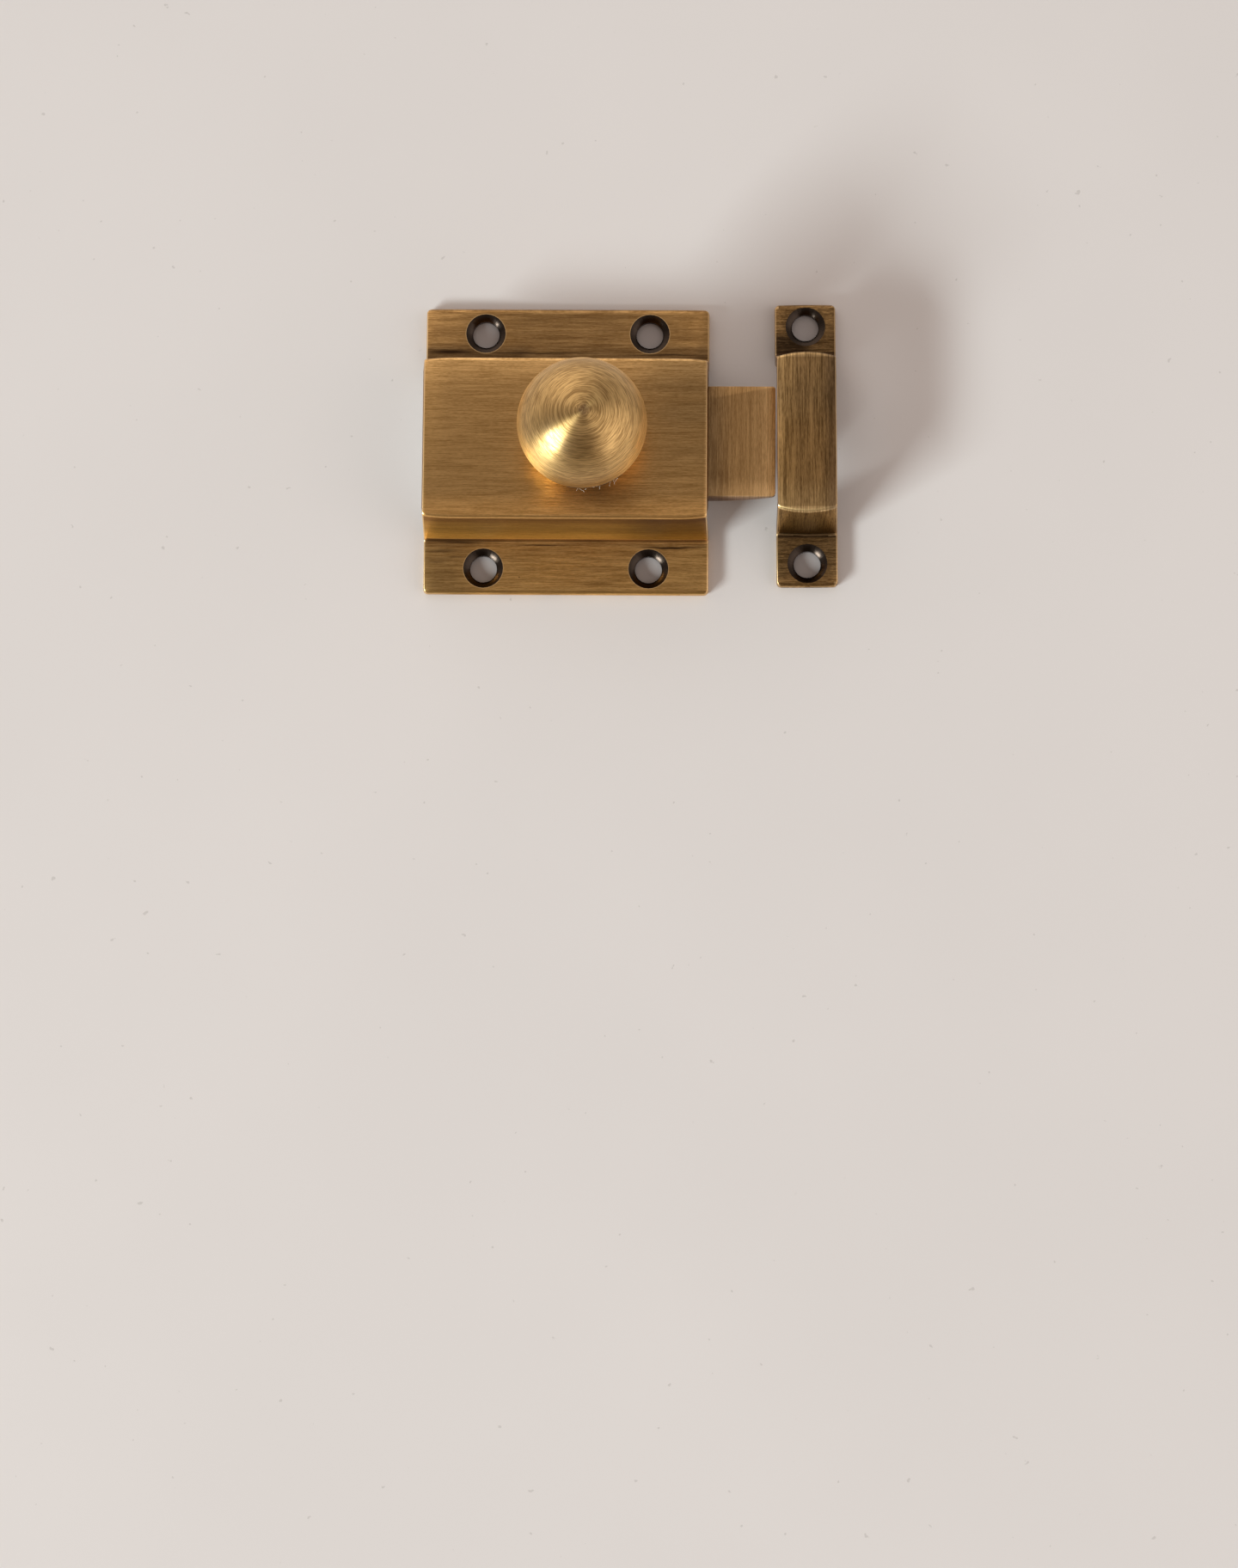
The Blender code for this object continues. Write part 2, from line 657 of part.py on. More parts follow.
def make_back_plate():
    """A steel strip turned up at both ends: one lug backs the spring, the other guides the bolt."""
    bend = BACK_BEND_RADIUS + BACK_SHEET
    lug_base = BACK_SHEET + bend
    lug_top = CEILING - SLIDE_GAP
    lug_half = wall_inside(CEILING) - CASE_BOW - SLIDE_GAP
    half_width = wall_inside(lug_base) - CASE_BOW * lug_base / CEILING - SLIDE_GAP
    section = rounded(
        [
            (-LUG_OUTSIDE, 0, bend, CORNER_STEPS),
            (LUG_OUTSIDE, 0, bend, CORNER_STEPS),
            (LUG_OUTSIDE, lug_top, 0, 0),
            (LUG_INSIDE, lug_top, 0, 0),
            (LUG_INSIDE, BACK_SHEET, BACK_BEND_RADIUS, CORNER_STEPS),
            (-LUG_INSIDE, BACK_SHEET, BACK_BEND_RADIUS, CORNER_STEPS),
            (-LUG_INSIDE, lug_top, 0, 0),
            (-LUG_OUTSIDE, lug_top, 0, 0),
        ]
    )
    plate = prism("back_plate", section, 2 * half_width, ACROSS_Y)
    for side in (-1, 1):
        edges = sorted((side * lug_half, side * (half_width + THROUGH)))
        trim = box(
            f"lug_trim_{side + 1}",
            (-LUG_OUTSIDE - THROUGH, edges[0], lug_base),
            (LUG_OUTSIDE + THROUGH, edges[1], lug_top + THROUGH),
        )
        combine(plate, trim, "DIFFERENCE")
    bolt_half = BOLT_WIDTH / 2 + SLIDE_GAP
    notch = box(
        "bolt_notch",
        (LUG_INSIDE - THROUGH, -bolt_half, BOLT_BOTTOM - SEAT_GAP),
        (LUG_OUTSIDE + THROUGH, bolt_half, lug_top + THROUGH),
    )
    combine(plate, notch, "DIFFERENCE")
    pin_hole = turned_rod(
        "spring_pin_seat", SPRING_PIN_RADIUS + FIT_GAP, -LUG_OUTSIDE - THROUGH, -LUG_INSIDE + THROUGH
    )
    combine(plate, lay_along_bolt(pin_hole), "DIFFERENCE")
    access = FOLLOWER_SCREW_HEAD_RADIUS + ACCESS_GAP
    driver_hole = turned_rod("driver_hole", access, -THROUGH, BACK_SHEET + THROUGH, (KNOB_X, 0, 0))
    combine(plate, driver_hole, "DIFFERENCE")
    shank = PLATE_SCREW_RADIUS + FIT_GAP
    head = PLATE_SCREW_HEAD_RADIUS + FIT_GAP
    sink = [
        (0, BACK_SHEET + THROUGH),
        (shank, BACK_SHEET + THROUGH),
        (shank, head - shank),
        (head + THROUGH, -THROUGH),
        (0, -THROUGH),
    ]
    for name, place in post_places().items():
        combine(plate, turned("plate_hole_" + name, sink, place), "DIFFERENCE")
    return finish(plate, zinc_steel)


def make_post(name, place):
    """A pillar soldered under the raised face and tapped from below for a back plate screw."""
    low = BACK_SHEET + SEAT_GAP
    high = CEILING - SEAT_GAP
    bore = PLATE_SCREW_RADIUS + FIT_GAP
    bore_top = PLATE_SCREW_LENGTH + SEAT_GAP
    profile = [
        (0, high),
        (POST_RADIUS, high),
        (POST_RADIUS, low),
        (bore, low),
        (bore, bore_top),
        (0, bore_top),
    ]
    return finish(turned("post_" + name, profile, place), plain_brass)


def make_plate_screw(name, place):
    """A countersunk screw through the back plate into a post, its head flush with the back."""
    low = PLATE_SCREW_SINK
    neck = low + PLATE_SCREW_HEAD_RADIUS - PLATE_SCREW_RADIUS
    profile = [
        (0, PLATE_SCREW_LENGTH),
        (PLATE_SCREW_RADIUS, PLATE_SCREW_LENGTH),
        (PLATE_SCREW_RADIUS, neck),
        (PLATE_SCREW_HEAD_RADIUS, low),
        (0, low),
    ]
    screw = turned("plate_screw_" + name, profile, place)
    cut_driver_slot(screw, PLATE_SCREW_HEAD_RADIUS, low, place)
    return finish(screw, bright_steel)


def make_spring_pin():
    """The pin riveted in the rear lug, which keeps the spring straight and enters the bolt's tail."""
    start = -LUG_OUTSIDE + SEAT_GAP
    pin = turned_rod("spring_pin", SPRING_PIN_RADIUS, start, start + SPRING_PIN_LENGTH)
    return finish(lay_along_bolt(pin), bright_steel)


def spring_rise(turn, length):
    """How far along its axis the wire is after so many turns: closed coils at the ends, open between."""
    closed_pitch = 2 * SPRING_WIRE_RADIUS + COIL_GAP
    closed = SPRING_CLOSED_TURNS * closed_pitch
    open_turns = SPRING_TURNS - 2 * SPRING_CLOSED_TURNS
    if turn < SPRING_CLOSED_TURNS:
        return turn * closed_pitch
    if turn > SPRING_TURNS - SPRING_CLOSED_TURNS:
        return length - (SPRING_TURNS - turn) * closed_pitch
    return closed + (turn - SPRING_CLOSED_TURNS) / open_turns * (length - 2 * closed)


def make_bolt_spring():
    """A compression spring from the rear lug to the bolt's tail, its wire following a helix."""
    coil = SPRING_RADIUS - SPRING_WIRE_RADIUS
    start = -LUG_INSIDE + SEAT_GAP + SPRING_WIRE_RADIUS
    end = BOLT_START - SEAT_GAP - SPRING_WIRE_RADIUS
    count = SPRING_TURNS * SPRING_STEPS
    curve = bpy.data.curves.new("bolt_spring", "CURVE")
    curve.dimensions = "3D"
    curve.bevel_depth = SPRING_WIRE_RADIUS
    curve.bevel_resolution = 2
    curve.use_fill_caps = True
    wire = curve.splines.new("POLY")
    wire.points.add(count)
    for index, point in enumerate(wire.points):
        turn = index / SPRING_STEPS
        along = start + spring_rise(turn, end - start)
        angle = 2 * math.pi * turn
        point.co = (along, coil * math.cos(angle), BOLT_MIDDLE + coil * math.sin(angle), 1)
    drawn = new_object("spring_wire", curve)
    shape = bmesh.new()
    shape.from_mesh(evaluated_mesh(drawn))
    bpy.data.objects.remove(drawn)
    bmesh.ops.remove_doubles(shape, verts=shape.verts, dist=WELD)
    bmesh.ops.recalc_face_normals(shape, faces=shape.faces)
    mesh = bpy.data.meshes.new("bolt_spring")
    shape.to_mesh(mesh)
    shape.free()
    return finish(new_object("bolt_spring", mesh), spring_steel)


clear_scene()
latch = new_collection("cabinet_door_latch")
cutters = new_collection("cutters")

antique_brass = new_material("antique_brass", (0.30, 0.17, 0.06), 0.36)
aged_brass = new_material("aged_brass", (0.20, 0.11, 0.04), 0.42)
knob_brass = new_material("knob_brass", (0.46, 0.29, 0.12), 0.30)
bolt_brass = new_material("bolt_brass", (0.26, 0.15, 0.055), 0.38)
plain_brass = new_material("plain_brass", (0.62, 0.42, 0.16), 0.35)
bright_steel = new_material("bright_steel", (0.62, 0.61, 0.58), 0.32)
zinc_steel = new_material("zinc_steel", (0.50, 0.49, 0.47), 0.45)
spring_steel = new_material("spring_steel", (0.35, 0.35, 0.36), 0.30)

knob_axis = axis_empty("knob_axis", (KNOB_X, 0, 0))
bolt_axis = axis_empty("bolt_axis", (0, 0, BOLT_MIDDLE))

make_case()
make_keeper()
make_back_plate()
for post_name, post_place in post_places().items():
    make_post(post_name, post_place)
    make_plate_screw(post_name, post_place)
make_bush()
make_knob(knob_axis)
make_knob_washer(knob_axis)
make_spindle(knob_axis)
make_follower(knob_axis)
make_crank_pin(knob_axis)
make_follower_fastening(knob_axis)
make_bolt(bolt_axis)
make_bolt_spring()
make_spring_pin()
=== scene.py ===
"""Looks of the cabinet door latch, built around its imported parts. Metres; millimetres in the materials."""

import json
import math
import random

import bmesh
import bpy
from mathutils import Euler, Matrix, Vector


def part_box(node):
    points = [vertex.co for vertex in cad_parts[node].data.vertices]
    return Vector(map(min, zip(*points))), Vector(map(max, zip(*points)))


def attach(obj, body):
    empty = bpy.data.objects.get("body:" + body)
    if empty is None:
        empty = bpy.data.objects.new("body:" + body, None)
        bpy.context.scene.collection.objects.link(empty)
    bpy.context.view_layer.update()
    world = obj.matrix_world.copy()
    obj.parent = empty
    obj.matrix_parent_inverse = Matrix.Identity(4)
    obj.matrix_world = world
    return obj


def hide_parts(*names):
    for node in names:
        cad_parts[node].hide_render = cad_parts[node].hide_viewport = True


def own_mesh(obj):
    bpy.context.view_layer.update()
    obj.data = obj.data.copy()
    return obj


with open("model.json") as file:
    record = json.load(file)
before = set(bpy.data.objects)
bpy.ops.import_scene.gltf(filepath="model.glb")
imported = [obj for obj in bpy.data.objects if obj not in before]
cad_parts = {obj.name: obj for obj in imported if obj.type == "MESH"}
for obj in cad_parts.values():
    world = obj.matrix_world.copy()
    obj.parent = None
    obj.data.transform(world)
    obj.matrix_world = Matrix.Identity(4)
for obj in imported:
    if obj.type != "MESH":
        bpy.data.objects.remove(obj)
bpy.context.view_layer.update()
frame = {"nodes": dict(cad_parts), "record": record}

MM = 0.001
WELD = 0.001 * MM
FLAT_ANGLE = math.radians(0.2)  # neighbouring faces that differ by less are one face
SMOOTH_ANGLE = math.radians(35)

# Camera
IMAGE_HEIGHT_PX = 1824
FOCAL_PX = 4300
SENSOR = 36.0  # mm, along the image's height
CAMERA_PLACE = Vector((19.6485, -140.3104, 649.5685)) * MM
CAMERA_TURN = (0.1236, 0.0143, 0.0076)

# Light: a broad low window, and an even room with two brighter and two darker sectors, fitted to the shine
# on the parts. A sector is heading and height in degrees, its edge as a cosine, and a colour: what the
# bright ones add, and the share that the dark ones leave.
WINDOW_HEADING = 217  # degrees from +X
WINDOW_HEIGHT = 25.3  # degrees
WINDOW_DISTANCE = 4.0
WINDOW_SIZE = (1.63, 0.66)
WINDOW_RADIANCE = 49.0
WINDOW_COLOUR = (0.87, 0.975, 1.0)
ROOM_COLOUR = (0.405, 0.36, 0.332)
ROOM_SECTORS = (
    ("ADD", 120, 12, 0.45, (0.82, 0.74, 0.68)),
    ("ADD", -24, 8, 0.50, (0.96, 0.89, 0.86)),
    ("MULTIPLY", -88, 24, 0.72, (0.20, 0.15, 0.10)),
    ("MULTIPLY", 178, 18, 0.55, (0.70, 0.70, 0.70)),
)
FLOOR_COLOUR = (0.755, 0.705, 0.68)
FLOOR_SIZE = 3.0
FLOOR_DROP = 0.02 * MM  # keeps the floor clear of the back of the latch

# Places on the folded sheets that the materials follow, in mm
HOLE_X, HOLE_Y = 14.7, 21.35
KEEPER_HOLE_Y = 21.55
HOLE_RADIUS, SINK_RADIUS = 2.4, 3.55
FACE_BEND = (12.1, 12.6)  # heights between which wall turns into raised face
FLANGE_BEND = (2.5, 3.2)  # and flange into wall
MIDDLE = (-1.0, 1.0)  # where north and south meet
KEEPER_TURN = math.radians(0.55)
keeper_low, keeper_high = (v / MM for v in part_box("keeper"))
KEEPER_CENTRE = (*((keeper_low + keeper_high) / 2).xy, 0.0)

# Brushing and wear
BRUSH_DEPTH = 0.04 * MM
RING_DEPTH = 0.06 * MM
RUBBED_WIDTH = 0.35 * MM  # faces narrower than this are rounded edges
FOOT_BAND = (15.2 * MM, 18.2 * MM)  # where the walls meet the flanges, out of reach of rubbing
CASE_PATINA = (  # centre, reach, wander of the middle line, seed, strength
    ((-21.0, 17.95), (6.5, 0.62), 0.5, 4.0, 1.0),
    ((-6.0, 17.80), (19.0, 0.20), 0.3, 6.0, 0.85),
    ((17.5, 17.55), (8.5, 0.30), 0.6, 8.0, 0.8),
    ((-4.4, -17.15), (6.0, 0.20), 0.2, 9.0, 0.95),
    ((18.5, -17.5), (8.0, 0.36), 0.5, 11.0, 0.95),
    ((-18.5, -16.75), (7.5, 0.26), 0.1, 13.0, 0.85),
    ((-22.0, -18.3), (4.0, 0.50), 0.6, 15.0, 0.5),
    ((-19.5, -19.4), (3.2, 0.30), 0.4, 17.0, 0.4),
    ((-23.0, -20.3), (2.4, 0.30), 0.3, 19.0, 0.35),
    ((-8.26, -22.95), (0.22, 0.20), 0.0, 0.0, 0.8),
)

# The knob, in metres; its centre in mm, as the materials use it
knob_low, knob_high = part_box("knob")
knob_radius = (knob_high.y - knob_low.y) / 2
BALL_CENTRE = tuple(v / MM for v in ((knob_low.x + knob_high.x) / 2, 0, knob_high.z - knob_radius))
CHUCK_AXIS = Vector((0.0507, -0.0204, 1)).normalized()  # the turning marks run about it
KNOB_BORE_RADIUS = 2.3 * MM
KNOB_BORE_DEPTH = 9.0 * MM
KNOB_RINGS, KNOB_STEPS = 96, 192

# Lint on the underside of the ball, and a dark thread there that is painted shade; angles in degrees
LINT_SEED = 11
LINT_GAP = 0.02 * MM
THREAD_START, THREAD_SWEEP, THREAD_STEPS = -103, 52, 24
THREAD_HEIGHT = -9.5
THREAD_THICKNESS = 0.065 * MM
FIBRES, FIBRE_STEPS = 13, 7
PALE_LINT, SHADE_THREAD = 0, 1  # places of the two materials


def heading(degrees, height):
    turn, rise = math.radians(degrees), math.radians(height)
    return Vector((math.cos(turn) * math.cos(rise), math.sin(turn) * math.cos(rise), math.sin(rise)))


class Shader:
    """A material under construction: adds nodes and joins their sockets."""

    def __init__(self, name):
        self.material = bpy.data.materials.new(name)
        self.material.use_nodes = True
        self.tree = self.material.node_tree
        self.surface = self.tree.nodes["Principled BSDF"]
        place = self.add("TexCoord").outputs["Object"]
        self.place = self.vector("SCALE", place, scale=1 / MM)
        self.x, self.y, self.z = self.split(self.place)

    def add(self, kind, sockets=None, **settings):
        made = self.tree.nodes.new("ShaderNode" + kind)
        for key, value in settings.items():
            setattr(made, key, value)
        for key, value in (sockets or {}).items():
            self.put(made.inputs[key], value)
        return made

    def put(self, socket, value):
        if isinstance(value, bpy.types.NodeSocket):
            self.tree.links.new(value, socket)
        elif socket.type == "RGBA" and len(value) == 3:
            socket.default_value = (*value, 1.0)
        else:
            socket.default_value = value

    def set(self, **values):
        for key, value in values.items():
            self.put(self.surface.inputs[key.replace("_", " ")], value)

    def math(self, operation, a, b=0.0, c=0.0):
        return self.add("Math", {0: a, 1: b, 2: c}, operation=operation).outputs[0]

    def times(self, a, b, plus=None):
        if plus is None:
            return self.math("MULTIPLY", a, b)
        return self.math("MULTIPLY_ADD", a, b, plus)

    def vector(self, operation, a, b=(0, 0, 0), scale=1.0):
        made = self.add("VectorMath", operation=operation)
        for index, value in ((0, a), (1, b), (3, scale)):
            self.put(made.inputs[index], value)
        return made.outputs[1 if operation in ("LENGTH", "DOT_PRODUCT") else 0]

    def join(self, x, y, z=0.0):
        return self.add("CombineXYZ", {0: x, 1: y, 2: z}).outputs[0]

    def split(self, vector):
        return tuple(self.add("SeparateXYZ", {"Vector": vector}).outputs)

    def ramp(self, value, low, high, out_low=0.0, out_high=1.0):
        """A smooth rise from one level to another."""
        sockets = {0: value, 1: low, 2: high, 3: out_low, 4: out_high}
        return self.add("MapRange", sockets, interpolation_type="SMOOTHSTEP").outputs[0]

    def fall(self, value, low, high, out_high=0.0):
        return self.ramp(value, low, high, 1.0, out_high)

    def band(self, value, low, high, soft):
        rise = self.ramp(value, low - soft, low + soft)
        return self.times(rise, self.fall(value, high - soft, high + soft))

    def noise(self, vector, scale=1.0, detail=3.0, roughness=0.5, w=None):
        sockets = {"Vector": vector, "Scale": scale, "Detail": detail, "Roughness": roughness}
        if w is not None:
            sockets["W"] = w
        made = self.add("TexNoise", sockets, noise_dimensions="3D" if w is None else "4D")
        return made.outputs["Fac"]

    def mix(self, factor, a, b):
        return self.add("Mix", {0: factor, 6: a, 7: b}, data_type="RGBA").outputs[2]

    def mix_value(self, factor, a, b):
        return self.add("Mix", {0: factor, 2: a, 3: b}).outputs[0]

    def any_of(self, *masks):
        """The strongest of several masks."""
        total = masks[0]
        for mask in masks[1:]:
            total = self.math("MAXIMUM", total, mask)
        return total

    def all_of(self, *masks):
        total = masks[0]
        for mask in masks[1:]:
            total = self.times(total, mask)
        return total

    def streaks(self, along, across, length, width, seed, detail=2.0):
        """Noise drawn out along the grain, with strokes of about a length and a width in mm."""
        vector = self.join(self.times(along, 1 / length), self.times(across, 1 / width), seed)
        return self.noise(vector, 1.0, detail, 0.55)


def sheen(shader, roughness, anisotropic, tangent):
    shader.set(
        Metallic=1.0, Roughness=roughness, Anisotropic=anisotropic, Anisotropic_Rotation=0.25, Tangent=tangent
    )


def turned_tangent(shader, from_centre, axis=(0, 0, 1)):
    """The direction of the turning marks about an axis."""
    along = shader.vector("CROSS_PRODUCT", axis, from_centre)
    made = shader.add("VectorTransform", vector_type="VECTOR", convert_from="OBJECT", convert_to="WORLD")
    shader.put(made.inputs["Vector"], along)
    return made.outputs[0]


def tinted(shader, base, *changes):
    """The colour multiplied by each tint in turn, where its mask is 1."""
    for mask, tint in changes:
        base = shader.vector("MULTIPLY", base, shader.mix(mask, (1, 1, 1), tint))
    return base


def brushing(shader, along, across, seed, stroke=1.0):
    """Tone and relief of a hand-brushed surface: hair-fine strokes, wider ones and short nicks."""
    fine = shader.streaks(along, across, 4.0 * stroke, 0.12, seed)
    middle = shader.streaks(along, across, 8.0 * stroke, 0.32, seed + 5, 3.0)
    broad = shader.streaks(along, across, 16.0 * stroke, 1.2, seed + 9)
    nicks = shader.streaks(along, across, 0.9 * stroke, 0.13, seed + 14)
    total = shader.times(fine, 0.30)
    for layer, share in ((middle, 0.28), (broad, 0.17), (nicks, 0.25)):
        total = shader.times(layer, share, total)
    return shader.ramp(total, 0.40, 0.61), total


def bump(shader, height, strength, distance):
    made = shader.add("Bump", {"Height": height, "Strength": strength, "Distance": distance})
    return made.outputs[0]


def finish_brushed(shader, base, tone, relief, strength, roughness, anisotropic):
    grain = shader.add("Tangent", direction_type="UV_MAP", uv_map="grain").outputs[0]
    shader.set(Base_Color=base, Normal=bump(shader, relief, strength, BRUSH_DEPTH))
    sheen(shader, shader.ramp(tone, 0.0, 1.0, *roughness), anisotropic, grain)


def own_place(shader, centre, turn):
    """Place in mm about a centre, along the edges of a part that is turned a little."""
    turned = shader.add("VectorRotate", {"Center": centre, "Angle": -turn}, rotation_type="Z_AXIS")
    shader.put(turned.inputs["Vector"], shader.place)
    return shader.split(shader.vector("SUBTRACT", turned.outputs[0], centre))[:2]


def smudge(shader, place, centre, reach, wander=0.0, seed=0.0):
    """A soft spot, longer one way than the other, whose middle line wanders."""
    x = shader.math("DIVIDE", shader.math("SUBTRACT", place[0], centre[0]), reach[0])
    drift = shader.math("SUBTRACT", shader.noise(shader.join(place[0], seed), 0.22, 1.0), 0.5)
    y = shader.math("SUBTRACT", place[1], shader.times(drift, wander, centre[1]))
    y = shader.math("DIVIDE", y, reach[1])
    return shader.fall(shader.vector("LENGTH", shader.join(x, y)), 0.1, 1.0)


def past_hole(shader, value, hole):
    return shader.math("SUBTRACT", shader.math("ABSOLUTE", value), hole)


def hole_distance(shader, place, hole):
    """Distance in mm from the nearest of the holes that lie alike about the middle."""
    return shader.vector("LENGTH", shader.join(*(past_hole(shader, v, at) for v, at in zip(place, hole))))


def hole_rims(shader, base, place, hole):
    """A thin bright line round each countersink, where its edge is rubbed."""
    away = hole_distance(shader, place, hole)
    ring = shader.band(away, SINK_RADIUS - 0.1, SINK_RADIUS + 0.1, 0.04)
    return shader.mix(shader.all_of(ring, shader.ramp(shader.z, 1.8, 1.9), 0.7), base, (0.80, 0.55, 0.27))


def rub_edges(shader, base, strength, colour):
    """Bright metal on the faces that mark_rubbed marks."""
    rubbed = shader.add("Attribute", attribute_name="rub").outputs["Fac"]
    return shader.mix(shader.times(rubbed, strength), base, colour)


def sheet_zones(shader, y):
    """Masks of a folded sheet: raised face, flanges, walls, and its halves north and south."""
    face = shader.ramp(shader.z, *FACE_BEND)
    flange = shader.fall(shader.z, *FLANGE_BEND)
    wall = shader.all_of(shader.ramp(shader.z, *FLANGE_BEND), shader.fall(shader.z, *FACE_BEND))
    return face, flange, wall, shader.ramp(y, *MIDDLE), shader.fall(y, *MIDDLE)


def brushed_case():
    shader = Shader("antique_brass_brushed")
    all_of, ramp, fall, band = shader.all_of, shader.ramp, shader.fall, shader.band
    x, y, z = shader.x, shader.y, shader.z
    place = (x, y)
    side = shader.math("ABSOLUTE", y)
    across = shader.math("ADD", y, shader.times(z, 1.3))
    tone, relief = brushing(shader, x, across, 1.0)
    base = shader.mix(tone, (0.332, 0.182, 0.059), (0.615, 0.367, 0.141))
    face, flange, wall, north, south = sheet_zones(shader, y)

    # The raised face: lighter towards its two bends, a painted sheen where the real face rolls off towards
    # them; darker and more streaked towards the bolt
    cloud = shader.streaks(x, across, 20.0, 5.0, 3.0)
    east = all_of(face, ramp(x, 9.0, 20.0), ramp(y, -9.0, 3.0), ramp(cloud, 0.35, 0.6, 0.6, 1.0))
    base = tinted(
        shader, base,
        (all_of(face, ramp(y, 8.5, 13.4)), (1.42, 1.46, 1.52)),
        (all_of(face, fall(y, -13.4, -9.0)), (1.42, 1.37, 1.27)),
        (east, (0.72, 0.74, 0.78)),
        (all_of(band(side, 13.65, 14.6, 0.15), ramp(z, 12.3, 12.6)), (1.14, 1.17, 1.22)),
    )

    # Beside the ball's foot the paint takes back some of the light that the ball throws on the face; the
    # edge towards the bolt is rubbed lighter
    base = tinted(
        shader, base,
        (all_of(face, smudge(shader, place, (-4.4, -8.6), (4.6, 3.4))), (0.80, 0.83, 0.88)),
        (all_of(face, smudge(shader, place, (8.6, -10.3), (7.6, 5.0))), (0.68, 0.68, 0.68)),
        (all_of(face, ramp(x, 24.3, 24.7)), (1.35, 1.38, 1.45)),
    )

    # The walls: darker and warmer, darker still towards the bolt and lighter at the west end, with painted
    # shade under the bend and painted light towards the foot
    foot_bend = all_of(band(side, 15.9, 16.75, 0.12), fall(z, 2.7, 3.3))
    base = tinted(
        shader, base,
        (wall, (0.74, 0.62, 0.31)),
        # Painted light towards the foot, where the walls face the lit floor and flange
        (all_of(wall, fall(z, 3.2, 7.5)), (1.95, 1.95, 2.0)),
        (all_of(wall, fall(x, -25.4, -21.5)), (1.35, 1.35, 1.3)),
        # Painted shade under the bend
        (all_of(wall, ramp(z, 8.5, 12.0)), (0.56, 0.47, 0.34)),
        (all_of(wall, ramp(x, 6.0, 17.0)), (0.60, 0.54, 0.42)),
        # Painted light on the bend at the foot, which offsets its dark reflection
        (foot_bend, (1.7, 1.6, 1.5)),
    )

    # The flanges: brown patina that the brushing left at the foot of the walls, with painted light along the
    # south edge and painted shade in the crease at the foot
    on_north = all_of(flange, north)
    on_south = all_of(flange, south)
    wave = shader.noise(shader.join(x, 3.0), 0.16, 2.0)
    ragged = shader.times(shader.streaks(x, y, 7.0, 0.35, 21.0, 3.0), 2.6, shader.times(wave, 1.5))
    depth = shader.math("ADD", side, ragged)
    from_middle = shader.math("ABSOLUTE", shader.math("SUBTRACT", x, 0.5))
    blotch = shader.streaks(x, y, 9.0, 0.75, 31.0, 3.0)
    north_band = all_of(on_north, fall(shader.times(wave, 1.2, side), 18.6, 20.6))
    ends = shader.any_of(fall(x, -9.0, -5.0), shader.times(ramp(x, 13.0, 18.0), 0.6))
    base = tinted(
        shader, base,
        (all_of(on_north, fall(from_middle, 7.0, 15.0)), (0.88, 0.89, 0.92)),
        (on_north, (1.05, 1.05, 1.06)),
        (on_south, (1.26, 1.28, 1.22)),
        (all_of(flange, fall(blotch, 0.38, 0.60)), (0.78, 0.76, 0.74)),
        # Painted light along the south edge, which offsets the dark reflection of its rounded edge
        (all_of(on_south, fall(y, -25.6, -25.0)), (1.3, 1.3, 1.25)),
        (all_of(on_north, fall(depth, 18.6, 20.4)), (0.66, 0.66, 0.70)),
        (north_band, (0.80, 0.80, 0.82)),
        (all_of(north_band, ends), (0.62, 0.62, 0.66)),
        (all_of(on_south, fall(x, -20.0, -13.0)), (0.80, 0.82, 0.86)),
        (all_of(on_south, fall(depth, 18.0, 20.2)), (0.66, 0.66, 0.72)),
    )
    marks = [shader.times(smudge(shader, place, *mark), strength) for *mark, strength in CASE_PATINA]
    # Painted shade in the crease at the foot of the walls, strongest to the west; it shares the patina's dark
    # colour
    crease_shade = all_of(band(side, 16.40, 16.60, 0.07), fall(shader.z, 2.0, 2.5, 0.45))
    crease_shade = all_of(crease_shade, ramp(x, -16.0, -6.0, 0.7, 0.25))
    base = shader.mix(shader.any_of(*marks, crease_shade), base, (0.045, 0.022, 0.010))

    base = rub_edges(shader, base, 0.7, (0.84, 0.58, 0.30))
    base = hole_rims(shader, base, place, (HOLE_X, HOLE_Y))
    finish_brushed(shader, base, tone, relief, 0.5, (0.42, 0.30), 0.55)
    shader.set(Metallic=shader.times(wall, -0.32, 1.0))
    return shader.material


